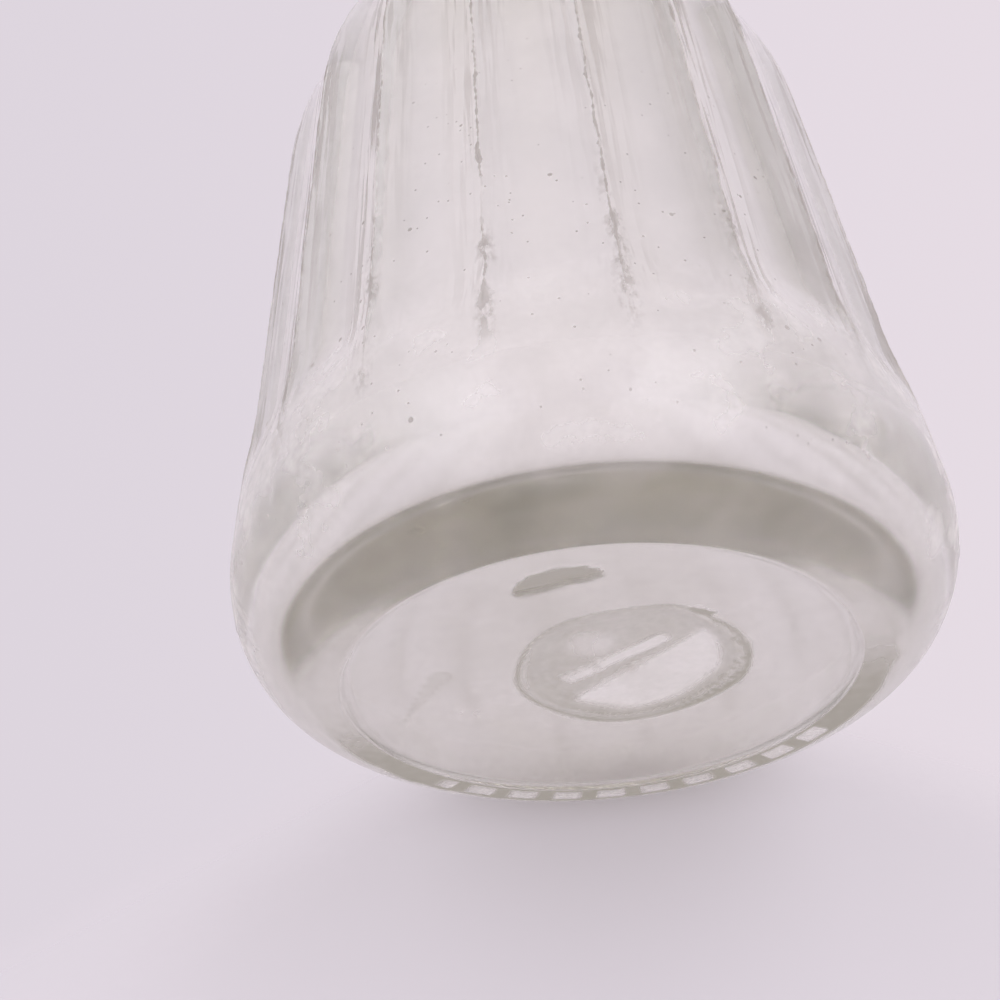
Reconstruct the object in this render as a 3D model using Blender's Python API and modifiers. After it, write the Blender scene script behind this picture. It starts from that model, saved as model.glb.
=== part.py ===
"""A fluted round glass milk bottle with a waxed paper cap, built for Blender 4.5.

Metres, +Z up. The origin is the centre of the ring that the bottle stands on.
Angle 0 is +X, and the middle of one flute faces -Y.
"""

import math

import bpy

# Side of the bottle
BODY_RADIUS = 0.0490
WALL_THICKNESS = 0.0042
SHOULDER_START = 0.0940
SHOULDER_HEIGHT = 0.0650
NECK_SWEEP_HEIGHT = 0.0350
NECK_HEIGHT = 0.0204

# Heel and base
HEEL_HEIGHT = 0.0158
HEEL_WIDTH = 0.0129
BEARING_WIDTH = 0.0023
BASE_STEP_WIDTH = 0.0008
BASE_STEP_HEIGHT = 0.0008
PUSH_UP_HEIGHT = 0.0024
BASE_THICKNESS = 0.0080
FLOOR_TILT = math.radians(15)
INSIDE_CORNER_RADIUS = 0.0046

# Flutes round the side
FLUTE_COUNT = 20
FLUTE_DEPTH = 0.0011
ARRIS_RECESS = 0.0007
HEEL_BAND_HEIGHT = 0.0030
FLUTE_END_RISE = 0.0045
FLUTE_END_LENGTH = 0.0065
FLUTE_RUN_UP = 0.0720
FLUTE_TOP_FADE = 0.0260

# Valve mark that the mould left in the base
VALVE_MARK_RADIUS = 0.0142
VALVE_MARK_THICKNESS = 0.0018
VALVE_MARK_PROUD = 0.0005
VALVE_MARK_X = 0.0044
VALVE_MARK_Y = -0.0010

# Paper cap
CAP_RADIUS = 0.02065
CAP_THICKNESS = 0.0012
CAP_EDGE_RADIUS = 0.0003
CLEARANCE = 0.0003

# Mouth, which is made to take the cap
SEAT_DEPTH = 0.0050
SEAT_WALL_HEIGHT = 0.0026
SEAT_LEDGE = 0.0023
MOUTH_FLARE = 0.0014
LIP_LAND = 0.0022
LIP_ROUNDING = 0.0032
COLLAR_HEIGHT = 0.0200
BEAD_RADIUS = 0.0036
BEAD_PROUD = 0.0012
BEAD_FILLET_HEIGHT = 0.0030
THROAT_HEIGHT = 0.0090
THROAT_RELIEF_HEIGHT = 0.0060
THROAT_RELIEF = 0.0012
NECK_WALL = 0.0046

# Pull tab and its staple
TAB_THICKNESS = 0.0005
TAB_EDGE = 0.0021
TONGUE_LENGTH = 0.0132
CREASE_OFFSET = 0.0024
CREASE_GAP = 0.0004
FOOT_BACK = 0.0026
FOOT_CORNER_RADIUS = 0.0014
STAPLE_SPAN = 0.0068
STAPLE_WIRE_RADIUS = 0.0003
STAPLE_BEND_RADIUS = 0.0006
STAPLE_CLINCH = 0.0024

# One overrun for every cut, and the weld distance of every turned shape
OVERRUN = 0.0020
WELD = 0.00001

# Mesh counts
STEPS_PER_FLUTE = 4
INSIDE_STEPS = 40
CAP_STEPS = 64
BEND_STEPS = 4
FLUTE_END_SHARES = (0.0, 0.1, 0.24, 0.42, 0.66, 1.0)
PUSH_UP_SHARES = (1.0, 0.92, 0.8, 0.62, 0.34)
PUSH_UP_POWER = 4
FLOOR_SHARES = (0.84, 0.66, 0.46, 0.24)

# Sizes that follow from the ones above
INSIDE_RADIUS = BODY_RADIUS - WALL_THICKNESS
BEARING_OUTER = BODY_RADIUS - HEEL_WIDTH
BEARING_INNER = BEARING_OUTER - BEARING_WIDTH
PUSH_UP_RADIUS = BEARING_INNER - BASE_STEP_WIDTH
BASE_CENTRE_HEIGHT = BASE_STEP_HEIGHT + PUSH_UP_HEIGHT
FLOOR_HEIGHT = BASE_CENTRE_HEIGHT + BASE_THICKNESS
FLOOR_RIM = INSIDE_RADIUS - INSIDE_CORNER_RADIUS * (1 + math.sin(FLOOR_TILT))
FLOOR_FALL = FLOOR_RIM * math.tan(FLOOR_TILT) / 2
CORNER_HEIGHT = FLOOR_HEIGHT - FLOOR_FALL + INSIDE_CORNER_RADIUS * math.cos(FLOOR_TILT)
FLUTE_FOOT = HEEL_HEIGHT + HEEL_BAND_HEIGHT
FLUTE_TOP = SHOULDER_START + FLUTE_RUN_UP
SEAT_RADIUS = CAP_RADIUS + CLEARANCE
MOUTH_RADIUS = SEAT_RADIUS + MOUTH_FLARE
THROAT_RADIUS = SEAT_RADIUS - SEAT_LEDGE
NECK_INSIDE_RADIUS = THROAT_RADIUS + THROAT_RELIEF
NECK_RADIUS = NECK_INSIDE_RADIUS + NECK_WALL
COLLAR_RADIUS = MOUTH_RADIUS + LIP_LAND + LIP_ROUNDING
NECK_START = SHOULDER_START + SHOULDER_HEIGHT + NECK_SWEEP_HEIGHT
FINISH_START = NECK_START + NECK_HEIGHT
BEAD_HEIGHT = FINISH_START + BEAD_FILLET_HEIGHT + BEAD_RADIUS
BOTTLE_HEIGHT = BEAD_HEIGHT + COLLAR_HEIGHT
SEAT_HEIGHT = BOTTLE_HEIGHT - SEAT_DEPTH
CAP_BOTTOM = SEAT_HEIGHT + CLEARANCE
CAP_TOP = CAP_BOTTOM + CAP_THICKNESS
TAB_BOTTOM = CAP_TOP + CLEARANCE
TAB_TOP = TAB_BOTTOM + TAB_THICKNESS
TAB_WIDTH = STAPLE_SPAN + 2 * TAB_EDGE
LEG_HOLE_RADIUS = STAPLE_WIRE_RADIUS + CLEARANCE


def clear_scene():
    for obj in list(bpy.data.objects):
        bpy.data.objects.remove(obj, do_unlink=True)


def new_collection(name):
    collection = bpy.data.collections.new(name)
    bpy.context.scene.collection.children.link(collection)
    return collection


def surface(name, colour, roughness, metallic=0.0, transmission=0.0, ior=1.5):
    material = bpy.data.materials.new(name)
    material.use_nodes = True
    shader = material.node_tree.nodes["Principled BSDF"]
    shader.inputs["Base Color"].default_value = (*colour, 1.0)
    shader.inputs["Roughness"].default_value = roughness
    shader.inputs["Metallic"].default_value = metallic
    shader.inputs["Transmission Weight"].default_value = transmission
    shader.inputs["IOR"].default_value = ior
    return material


def arc(centre_radius, centre_height, width, height, start, end, steps):
    """Points on an ellipse in the (radius, height) plane, both ends included. Angles are in degrees."""
    points = []
    for i in range(steps + 1):
        angle = math.radians(start + (end - start) * i / steps)
        points.append((centre_radius + width * math.cos(angle), centre_height + height * math.sin(angle)))
    return points


def side_radius(height, wide, narrow):
    """The side at a height: straight, then a convex shoulder, then a concave sweep into the neck."""
    rise = height - SHOULDER_START
    whole = SHOULDER_HEIGHT + NECK_SWEEP_HEIGHT
    if rise <= 0:
        return wide
    if rise < SHOULDER_HEIGHT:
        return wide - (wide - narrow) * rise**2 / (SHOULDER_HEIGHT * whole)
    if rise < whole:
        return narrow + (wide - narrow) * (whole - rise) ** 2 / (NECK_SWEEP_HEIGHT * whole)
    return narrow


def shoulder_levels(shoulder_steps, sweep_steps):
    """Heights down the neck sweep and the shoulder, from the neck to the straight side."""
    sweep = [NECK_START - NECK_SWEEP_HEIGHT * i / sweep_steps for i in range(sweep_steps)]
    shoulder = [
        SHOULDER_START + SHOULDER_HEIGHT * (1 - i / shoulder_steps)
        for i in range(shoulder_steps + 1)
    ]
    return sweep + shoulder


def outside_outline():
    """The bottle's outside, from the top of the axis down the side to the middle of the base."""
    points = [(0.0, BOTTLE_HEIGHT)]
    points += arc(
        COLLAR_RADIUS - LIP_ROUNDING, BOTTLE_HEIGHT - LIP_ROUNDING, LIP_ROUNDING, LIP_ROUNDING, 90, 0, 4
    )
    points += arc(COLLAR_RADIUS, BEAD_HEIGHT, BEAD_PROUD, BEAD_RADIUS, 90, -90, 6)
    points.append((NECK_RADIUS, FINISH_START))
    points += [(side_radius(z, BODY_RADIUS, NECK_RADIUS), z) for z in shoulder_levels(8, 5)]
    end_height = FLUTE_END_RISE + FLUTE_END_LENGTH
    points += [(BODY_RADIUS, FLUTE_FOOT + end_height * share) for share in reversed(FLUTE_END_SHARES)]
    points += arc(BEARING_OUTER, HEEL_HEIGHT, HEEL_WIDTH, HEEL_HEIGHT, 0, -90, 8)
    points.append((BEARING_INNER, 0.0))
    for share in PUSH_UP_SHARES:
        rise = PUSH_UP_HEIGHT * (1 - share**PUSH_UP_POWER)
        points.append((PUSH_UP_RADIUS * share, BASE_STEP_HEIGHT + rise))
    points.append((0.0, BASE_CENTRE_HEIGHT))
    return points


def inside_outline():
    """The hollow, from above the mouth down the inside wall and over the domed floor to its middle."""
    points = [
        (0.0, BOTTLE_HEIGHT + OVERRUN),
        (MOUTH_RADIUS, BOTTLE_HEIGHT + OVERRUN),
        (MOUTH_RADIUS, BOTTLE_HEIGHT),
        (SEAT_RADIUS, SEAT_HEIGHT + SEAT_WALL_HEIGHT),
        (SEAT_RADIUS, SEAT_HEIGHT),
        (THROAT_RADIUS, SEAT_HEIGHT),
        (THROAT_RADIUS, SEAT_HEIGHT - THROAT_HEIGHT),
        (NECK_INSIDE_RADIUS, SEAT_HEIGHT - THROAT_HEIGHT - THROAT_RELIEF_HEIGHT),
    ]
    points += [(side_radius(z, INSIDE_RADIUS, NECK_INSIDE_RADIUS), z) for z in shoulder_levels(6, 4)]
    corner = INSIDE_RADIUS - INSIDE_CORNER_RADIUS
    end = -90 - math.degrees(FLOOR_TILT)
    points += arc(corner, CORNER_HEIGHT, INSIDE_CORNER_RADIUS, INSIDE_CORNER_RADIUS, 0, end, 6)
    points += [(FLOOR_RIM * share, FLOOR_HEIGHT - FLOOR_FALL * share**2) for share in FLOOR_SHARES]
    points.append((0.0, FLOOR_HEIGHT))
    return points


def turned(name, outline, steps, collection):
    """A mesh object that spins an outline of (radius, height) points about the Z axis."""
    mesh = bpy.data.meshes.new(name)
    edges = [(i, i + 1) for i in range(len(outline) - 1)]
    mesh.from_pydata([(radius, 0.0, height) for radius, height in outline], edges, [])
    spun = bpy.data.objects.new(name, mesh)
    collection.objects.link(spun)
    screw = spun.modifiers.new("Spin", "SCREW")
    screw.steps = steps
    screw.render_steps = steps
    screw.use_merge_vertices = True
    screw.merge_threshold = WELD
    return spun


def keep_evaluated_mesh(obj):
    """Replace an object's mesh by what its modifiers make of it."""
    bpy.context.view_layer.update()
    graph = bpy.context.evaluated_depsgraph_get()
    made = bpy.data.meshes.new_from_object(obj.evaluated_get(graph))
    obj.modifiers.clear()
    obj.data = made


def flute_cut(angle, height):
    """How deep the flutes cut the side at an angle and a height."""
    turn = angle * FLUTE_COUNT / math.tau
    across = 2 * abs(turn - round(turn))
    foot = FLUTE_FOOT + FLUTE_END_RISE * (1 - math.sqrt(max(0.0, 1 - across**2)))
    up = min(1.0, (height - foot) / FLUTE_END_LENGTH)
    down = min(1.0, (FLUTE_TOP - height) / FLUTE_TOP_FADE)
    if up <= 0 or down <= 0:
        return 0.0
    depth = ARRIS_RECESS + FLUTE_DEPTH * (1 - across**2)
    narrowing = side_radius(height, BODY_RADIUS, NECK_RADIUS) / BODY_RADIUS
    return depth * narrowing * math.sin(up * math.pi / 2) * math.sin(down * math.pi / 2)


def flute(mesh):
    for vertex in mesh.vertices:
        x, y, height = vertex.co
        radius = math.hypot(x, y)
        if radius <= NECK_RADIUS or not FLUTE_FOOT < height < FLUTE_TOP:
            continue
        left = (radius - flute_cut(math.atan2(y, x), height)) / radius
        vertex.co.x = x * left
        vertex.co.y = y * left


def shade_round(mesh):
    mesh.shade_smooth()
    mesh.set_sharp_from_angle(angle=math.radians(38))


def as_cutter(obj):
    obj.hide_render = True
    obj.display_type = "WIRE"


def add_boolean(obj, name, other, operation):
    boolean = obj.modifiers.new(name, "BOOLEAN")
    boolean.operation = operation
    boolean.object = other
    boolean.solver = "EXACT"


def move_to(obj, collection):
    for holder in list(obj.users_collection):
        holder.objects.unlink(obj)
    collection.objects.link(obj)


def make_bottle(parts, cutters):
    """The one piece of glass: fluted side, heel, base with its valve mark, and mouth with its cap seat."""
    bottle = turned("glass_bottle", outside_outline(), FLUTE_COUNT * STEPS_PER_FLUTE, parts)
    keep_evaluated_mesh(bottle)
    flute(bottle.data)
    shade_round(bottle.data)
    hollow = turned("bottle_hollow", inside_outline(), INSIDE_STEPS, cutters)
    keep_evaluated_mesh(hollow)
    shade_round(hollow.data)
    as_cutter(hollow)
    add_boolean(bottle, "Hollow", hollow, "DIFFERENCE")

    bpy.ops.mesh.primitive_torus_add(
        major_radius=VALVE_MARK_RADIUS,
        minor_radius=VALVE_MARK_THICKNESS / 2,
        major_segments=48,
        minor_segments=8,
        location=(
            VALVE_MARK_X,
            VALVE_MARK_Y,
            BASE_CENTRE_HEIGHT - VALVE_MARK_PROUD + VALVE_MARK_THICKNESS / 2,
        ),
    )
    mark = bpy.context.object
    mark.name = "valve_mark_ring"
    move_to(mark, cutters)
    as_cutter(mark)
    add_boolean(bottle, "Valve mark", mark, "UNION")
    bottle.data.materials.append(
        surface("Clear glass", (0.93, 0.945, 0.935), 0.03, transmission=1.0, ior=1.52)
    )


def plate(name, outlines, bottom, thickness, origin, parts):
    """A flat piece from closed outlines in plan, the first its edge and the rest its holes."""
    curve = bpy.data.curves.new(name, "CURVE")
    curve.dimensions = "2D"
    curve.fill_mode = "BOTH"
    curve.extrude = thickness / 2
    for outline in outlines:
        spline = curve.splines.new("POLY")
        spline.points.add(len(outline) - 1)
        for point, (x, y) in zip(spline.points, outline):
            point.co = (x - origin[0], y - origin[1], bottom + thickness / 2 - origin[2], 1.0)
        spline.use_cyclic_u = True
    piece = bpy.data.objects.new(name, curve)
    piece.location = origin
    parts.objects.link(piece)
    return piece


def plan_arc(x, y, radius, start, end, steps):
    points = []
    for i in range(steps + 1):
        angle = math.radians(start + (end - start) * i / steps)
        points.append((x + radius * math.cos(angle), y + radius * math.sin(angle)))
    return points


def leg_places():
    return ((-STAPLE_SPAN / 2, 0.0), (STAPLE_SPAN / 2, 0.0))


def make_cap_disc(parts, cutters):
    bpy.ops.mesh.primitive_cylinder_add(
        vertices=CAP_STEPS,
        radius=CAP_RADIUS,
        depth=CAP_THICKNESS,
        location=(0.0, 0.0, CAP_BOTTOM + CAP_THICKNESS / 2),
    )
    disc = bpy.context.object
    disc.name = "cap_disc"
    move_to(disc, parts)
    edge = disc.modifiers.new("Edge", "BEVEL")
    edge.width = CAP_EDGE_RADIUS
    edge.segments = 2
    edge.limit_method = "ANGLE"
    for i, (x, y) in enumerate(leg_places()):
        bpy.ops.mesh.primitive_cylinder_add(
            vertices=12,
            radius=LEG_HOLE_RADIUS,
            depth=CAP_THICKNESS + 2 * OVERRUN,
            location=(x, y, CAP_BOTTOM + CAP_THICKNESS / 2),
        )
        hole = bpy.context.object
        hole.name = f"leg_hole_{i + 1}"
        move_to(hole, cutters)
        as_cutter(hole)
        add_boolean(disc, f"Leg hole {i + 1}", hole, "DIFFERENCE")
    shade_round(disc.data)
    disc.data.materials.append(surface("Waxed board", (0.86, 0.83, 0.74), 0.45))
    return disc


def make_tab_foot(parts):
    """The end of the tab that the staple holds to the cap."""
    half = TAB_WIDTH / 2
    front = CREASE_GAP / 2 - CREASE_OFFSET
    back = FOOT_BACK - FOOT_CORNER_RADIUS
    side = half - FOOT_CORNER_RADIUS
    edge = [(-half, front), (half, front)]
    edge += plan_arc(side, back, FOOT_CORNER_RADIUS, 0, 90, BEND_STEPS)
    edge += plan_arc(-side, back, FOOT_CORNER_RADIUS, 90, 180, BEND_STEPS)
    holes = [plan_arc(x, y, LEG_HOLE_RADIUS, 0, 330, 11) for x, y in leg_places()]
    foot = plate("tab_foot", [edge, *holes], TAB_BOTTOM, TAB_THICKNESS, (0.0, 0.0, TAB_BOTTOM), parts)
    foot.data.materials.append(surface("Tab paper", (0.82, 0.77, 0.66), 0.6))
    return foot


def make_tab_tongue(parts):
    """The end of the tab that lifts. Its origin lies on the crease, at the tab's upper face."""
    half = TAB_WIDTH / 2
    front = -CREASE_GAP / 2 - CREASE_OFFSET
    round_end = front - TONGUE_LENGTH + half
    edge = [(half, front), (-half, front)]
    edge += plan_arc(0.0, round_end, half, 180, 360, 4 * BEND_STEPS)
    crease = (0.0, -CREASE_OFFSET, TAB_TOP)
    tongue = plate("tab_tongue", [edge], TAB_BOTTOM, TAB_THICKNESS, crease, parts)
    tongue.data.materials.append(surface("Tongue paper", (0.82, 0.77, 0.66), 0.6))
    return tongue


def make_staple(parts):
    """One wire: a crown over the tab, two legs through tab and cap, and ends clinched under the cap."""
    crown = TAB_TOP + CLEARANCE + STAPLE_WIRE_RADIUS
    under = CAP_BOTTOM - CLEARANCE - STAPLE_WIRE_RADIUS
    leg = STAPLE_SPAN / 2
    bend = STAPLE_BEND_RADIUS
    side = [(leg - STAPLE_CLINCH, under)]
    side += plan_arc(leg - bend, under + bend, bend, -90, 0, BEND_STEPS)
    side += plan_arc(leg - bend, crown - bend, bend, 0, 90, BEND_STEPS)
    path = side + [(-x, z) for x, z in reversed(side)]
    wire = bpy.data.curves.new("tab_staple", "CURVE")
    wire.dimensions = "3D"
    wire.bevel_depth = STAPLE_WIRE_RADIUS
    wire.bevel_resolution = 2
    wire.use_fill_caps = True
    spline = wire.splines.new("POLY")
    spline.points.add(len(path) - 1)
    for point, (x, z) in zip(spline.points, path):
        point.co = (x, 0.0, z - crown, 1.0)
    staple = bpy.data.objects.new("tab_staple", wire)
    staple.location = (0.0, 0.0, crown)
    parts.objects.link(staple)
    staple.data.materials.append(surface("Staple wire", (0.62, 0.61, 0.59), 0.35, metallic=1.0))
    return staple


def make_cap(parts, cutters):
    """The cap's pieces, carried by an empty on the line that the cap lifts along."""
    lift = bpy.data.objects.new("cap_lift_axis", None)
    lift.location = (0.0, 0.0, CAP_BOTTOM)
    lift.empty_display_size = CAP_RADIUS
    parts.objects.link(lift)
    pieces = [
        make_cap_disc(parts, cutters),
        make_tab_foot(parts),
        make_tab_tongue(parts),
        make_staple(parts),
    ]
    bpy.context.view_layer.update()
    for piece in pieces:
        piece.parent = lift
        piece.matrix_parent_inverse = lift.matrix_world.inverted()


def main():
    clear_scene()
    parts = new_collection("Milk bottle")
    cutters = new_collection("Cutters")
    cutters.hide_render = True
    make_bottle(parts, cutters)
    make_cap(parts, cutters)


main()
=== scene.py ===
"""The looks of a fluted glass milk bottle with a waxed paper cap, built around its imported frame.

Metres, +Z up. The bottle stands on Z = 0 with the middle of one flute facing -Y. In the photograph
it lies on its side, so its tabletop is the upright plane that touches the back of the heel.
"""

import math

import bpy
import numpy as np
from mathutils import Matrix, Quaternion, Vector, noise


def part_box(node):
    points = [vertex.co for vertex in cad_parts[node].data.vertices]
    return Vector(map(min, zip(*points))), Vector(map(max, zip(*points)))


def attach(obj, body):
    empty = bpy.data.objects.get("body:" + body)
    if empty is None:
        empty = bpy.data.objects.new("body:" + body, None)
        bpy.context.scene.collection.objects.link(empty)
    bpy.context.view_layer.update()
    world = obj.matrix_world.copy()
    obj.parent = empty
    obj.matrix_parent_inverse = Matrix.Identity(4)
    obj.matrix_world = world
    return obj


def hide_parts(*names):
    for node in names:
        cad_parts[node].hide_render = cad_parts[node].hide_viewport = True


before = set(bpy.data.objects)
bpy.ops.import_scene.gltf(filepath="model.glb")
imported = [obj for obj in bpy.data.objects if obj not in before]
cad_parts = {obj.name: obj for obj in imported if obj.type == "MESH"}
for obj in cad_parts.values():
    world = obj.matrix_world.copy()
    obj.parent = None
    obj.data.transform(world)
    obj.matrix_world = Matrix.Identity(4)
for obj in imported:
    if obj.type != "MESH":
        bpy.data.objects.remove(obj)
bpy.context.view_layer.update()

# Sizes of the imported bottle
GLASS_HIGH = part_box("glass_bottle")[1]
BODY_RADIUS = GLASS_HIGH.x
BOTTLE_HEIGHT = GLASS_HIGH.z

# Sizes that follow the solid
WALL_THICKNESS = 0.0042
SHOULDER_START = 0.0940
SHOULDER_HEIGHT = 0.0650
NECK_SWEEP_HEIGHT = 0.0350
NECK_HEIGHT = 0.0204
NECK_RADIUS = 0.02445
NECK_WALL = 0.0046
HEEL_HEIGHT = 0.0158
HEEL_WIDTH = 0.0129
BEARING_WIDTH = 0.0023
BASE_STEP = 0.0008
PUSH_UP_HEIGHT = 0.0024
PUSH_UP_POWER = 4
BASE_THICKNESS = 0.0080
FLOOR_TILT = math.radians(15)
INSIDE_CORNER_RADIUS = 0.0046
FLUTE_COUNT = 20
FLUTE_DEPTH = 0.0011
ARRIS_RECESS = 0.0007
HEEL_BAND_HEIGHT = 0.0030
FLUTE_END_RISE = 0.0045
FLUTE_RUN_UP = 0.0720
FLUTE_TOP_FADE = 0.0260
COLLAR_RADIUS = 0.02775
BEAD_RADIUS = 0.0036
BEAD_PROUD = 0.0012
BEAD_FILLET_HEIGHT = 0.0030
LIP_ROUNDING = 0.0032
MOUTH_RADIUS = 0.02235
SEAT_RADIUS = 0.02095
SEAT_DEPTH = 0.0050
SEAT_WALL_HEIGHT = 0.0026
THROAT_RADIUS = 0.01865
THROAT_HEIGHT = 0.0090
THROAT_RELIEF_HEIGHT = 0.0060
CORNER_ROUNDING = 0.0004

INSIDE_RADIUS = BODY_RADIUS - WALL_THICKNESS
NECK_INSIDE_RADIUS = NECK_RADIUS - NECK_WALL
BEARING_OUTER = BODY_RADIUS - HEEL_WIDTH
BEARING_INNER = BEARING_OUTER - BEARING_WIDTH
PUSH_UP_RADIUS = BEARING_INNER - BASE_STEP
BASE_CENTRE_HEIGHT = BASE_STEP + PUSH_UP_HEIGHT
FLOOR_HEIGHT = BASE_CENTRE_HEIGHT + BASE_THICKNESS
FLOOR_RIM = INSIDE_RADIUS - INSIDE_CORNER_RADIUS * (1 + math.sin(FLOOR_TILT))
FLOOR_FALL = FLOOR_RIM * math.tan(FLOOR_TILT) / 2
CORNER_HEIGHT = FLOOR_HEIGHT - FLOOR_FALL + INSIDE_CORNER_RADIUS * math.cos(FLOOR_TILT)
FLUTE_FOOT = HEEL_HEIGHT + HEEL_BAND_HEIGHT
FLUTE_TOP = SHOULDER_START + FLUTE_RUN_UP
NECK_START = SHOULDER_START + SHOULDER_HEIGHT + NECK_SWEEP_HEIGHT
FINISH_START = NECK_START + NECK_HEIGHT
BEAD_HEIGHT = FINISH_START + BEAD_FILLET_HEIGHT + BEAD_RADIUS
SEAT_HEIGHT = BOTTLE_HEIGHT - SEAT_DEPTH
FLUTE_PITCH = math.tau * BODY_RADIUS / FLUTE_COUNT

# Foot of the flutes, softer than in the solid
FOOT_LENGTH = 0.0130

# Valve mark in the base, seen from below: a dish with a lip, a bar and a flat patch beyond the bar
VALVE_X = 0.0044
VALVE_Y = -0.0010
VALVE_RADIUS = 0.0142
VALVE_DEPTH = 0.0005
VALVE_LIP = 0.0003
VALVE_LIP_WIDTH = 0.0007
VALVE_WOBBLE = 0.07
VALVE_WOBBLE_SIZE = 0.010
VALVE_UNEVEN = 0.0002
VALVE_UNEVEN_SIZE = 0.006
DISH_EDGE = 0.0030
DISH_SOFT_EDGE = 0.0020
LIP_THICK_SIDE = math.radians(75)
LIP_MEAN_SHARE = 0.55
LIP_SWING_SHARE = 0.45
INNER_LIP_SHARE = 0.6
INNER_LIP_OFFSET = 0.0016
BAR_START = (-0.0032, 0.0020)
BAR_END = (0.0085, -0.0064)
BAR_WIDTH = 0.0011
BAR_HEIGHT = 0.00015
PATCH_OFFSET = 0.0044
PATCH_TURN = 0.0018
PATCH_MARGIN = 0.0012
PATCH_EDGE = 0.0012
PATCH_FRONT_EDGE = 0.0014
PATCH_HEIGHT = 0.0002

# Chill marks in the base: a crescent, a wedge and a scratch
CRESCENT_START = (-0.0086, -0.0217)
CRESCENT_END = (0.0021, -0.0244)
CRESCENT_HEIGHT = 0.0040
CRESCENT_DEPTH = 0.0003
CRESCENT_EDGE = 0.0006
WEDGE_START = (-0.0275, 0.0069)
WEDGE_END = (-0.0207, -0.0032)
WEDGE_WIDTH = 0.0017
WEDGE_START_SHARE = 0.25
WEDGE_EDGE = 0.0008
WEDGE_DEPTH = 0.00008
SCRATCH_START = (0.0123, -0.0139)
SCRATCH_END = (0.0148, -0.0124)
SCRATCH_WIDTH = 0.0003
SCRATCH_DEPTH = 0.00015

# How strongly the marks in the base get a grey film of painted shade or a pale one of painted light:
# the dish with a paler spot, its rim and the others
DISH_MARK = 0.46
PALE_MARK = 0.30
PALE_CENTRE = (-0.0005, -0.0064)
PALE_WIDTH = 0.0032
PALE_REACH = 1.4
PAINTED_LIGHT_MARK = 0.35
DISH_MARK_EDGE = 0.0006
DISH_MARK_START = 0.3
RIM_MARK = 0.62
RIM_OFFSET = 0.0011
RIM_LEAST_WIDTH = 0.0002
RIM_WIDTH = 0.0012
RIM_POWER = 4
OUTER_LINE_MARK = 0.5
OUTER_LINE_OFFSET = 0.0022
OUTER_LINE_WIDTH = 0.0004
SPECK_MARK = 1.2
SPECK_SIZE = 0.0009
CRESCENT_MARK = 0.70
WEDGE_MARK = 0.30
SCRATCH_MARK = 1.2

# Pads under one side of the standing ring, and pips in the heel below the arrises. The ring and the
# heel beside it get a grey film of painted shade, darkest towards the tabletop, and the pads painted light
PAD_COUNT = 32
PAD_SHARE = 0.62
PAD_DEPTH = 0.00018
PAD_INNER = 0.0342
PAD_OUTER = 0.0376
PAD_SIDE = math.radians(82)
PAD_REACH = math.radians(56)
PAD_EDGE = 0.0006
PAD_END_FADE = math.radians(6)
PAD_MARK = 1.2
RING_MARK_OUTER = 0.0392
RING_MARK_START = 0.0004
RING_MARK_FADE = 0.0018
RING_MARK_RAGGED = 0.0006
RING_MARK_RAGGED_SIZE = 0.004
RING_MARK_LEVEL = 0.95
RING_MARK_UNEVEN = 0.16
RING_MARK_GRAIN = 0.0016
FAR_SIDE_SHARE = 0.16
NEAR_SIDE_SPREAD = 1.2
NEAR_SIDE_SHIFT = 0.4
PIP_HEIGHT = 0.0112
PIP_RADIUS = 0.0010
PIP_PROUD = 0.00018

# Waves of the blown glass: (size of a wave, its depth), outside and inside
OUTSIDE_WAVES = ((0.030, 0.00005), (0.009, 0.000018))
INSIDE_WAVES = ((0.034, 0.00030), (0.012, 0.00006))
INSIDE_WAVE_SHIFT = 1.0
WAVE_STRETCH = 3.0
FLOOR_WAVE_SHARE = 0.6
NECK_WAVE_SHARE = 0.3
ARRIS_WANDER = 0.00035
ARRIS_WANDER_LENGTH = 0.007
ARRIS_RAGGED = 0.00012
ARRIS_GRAIN = 0.0016
ARRIS_WIDTH = 0.0006
ARRIS_SEED_STEP = 7.3

# Paper cap, as packed, and its colours
CAP_RADIUS = 0.02065
CAP_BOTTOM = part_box("cap_disc")[0].z
CREASE_OFFSET = 0.0024
PLY_THICKNESS = 0.0004
SIDE_SHADE = 0.35
BOARD_COLOUR = (0.74, 0.67, 0.53)
BOARD_WAXED = (0.68, 0.60, 0.45)
FIBRE_COLOUR = (0.82, 0.77, 0.66)
SPECK_COLOUR = (0.36, 0.28, 0.19)
RIM_COLOUR = (0.83, 0.79, 0.70)
PAPER_COLOUR = (0.62, 0.53, 0.39)
PAPER_WORN = (0.70, 0.62, 0.49)
WIRE_COLOUR = (0.62, 0.61, 0.59)
WIRE_DULL = (0.40, 0.385, 0.36)

# Grain of the board, paper and wire: noises, dots and steps as for the dirt on the glass
CLOUD_STEP = (0.3, 0.7)
BOARD_CLOUDS = (0.006, 2.0)
BOARD_FIBRES = (0.0007, 4.0)
BOARD_FIBRE_STEP = (0.60, 0.78, 0.0, 0.35)
BOARD_SPECKS = (0.0016, 0.00012, 0.22)
BOARD_SPECK_SHARE = 0.5
BOARD_RUB_WIDTH = 0.0012
BOARD_RUB_SHARE = 0.45
BOARD_RUB_STEP = (0.25, 0.60)
BOARD_SIDE_DEPTH = 0.0003
BOARD_EDGE_DEPTH = 0.0001
PLY_STEP = (0.2, 0.9)
PAPER_CLOUDS = (0.004, 2.0)
PAPER_FIBRES = (0.0004, 4.0)
PAPER_FIBRE_STEP = (0.60, 0.80, 0.0, 0.3)
STRAND_SIZES = (0.0030, 0.0005, 0.0030)
STRAND_STEP = (0.52, 0.72, 0.0, 0.4)
CREASE_STEP = (0.0007, 0.0002, 0.0, 0.5)
DRAWN_LINE_SIZES = (0.004, 0.0001, 0.0001)
WIRE_PATCHES = (0.0012, 3.0)
WIRE_PATCH_STEP = (0.45, 0.70)
BOARD_ROUGHNESS = (0.55, 0.38)
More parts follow.
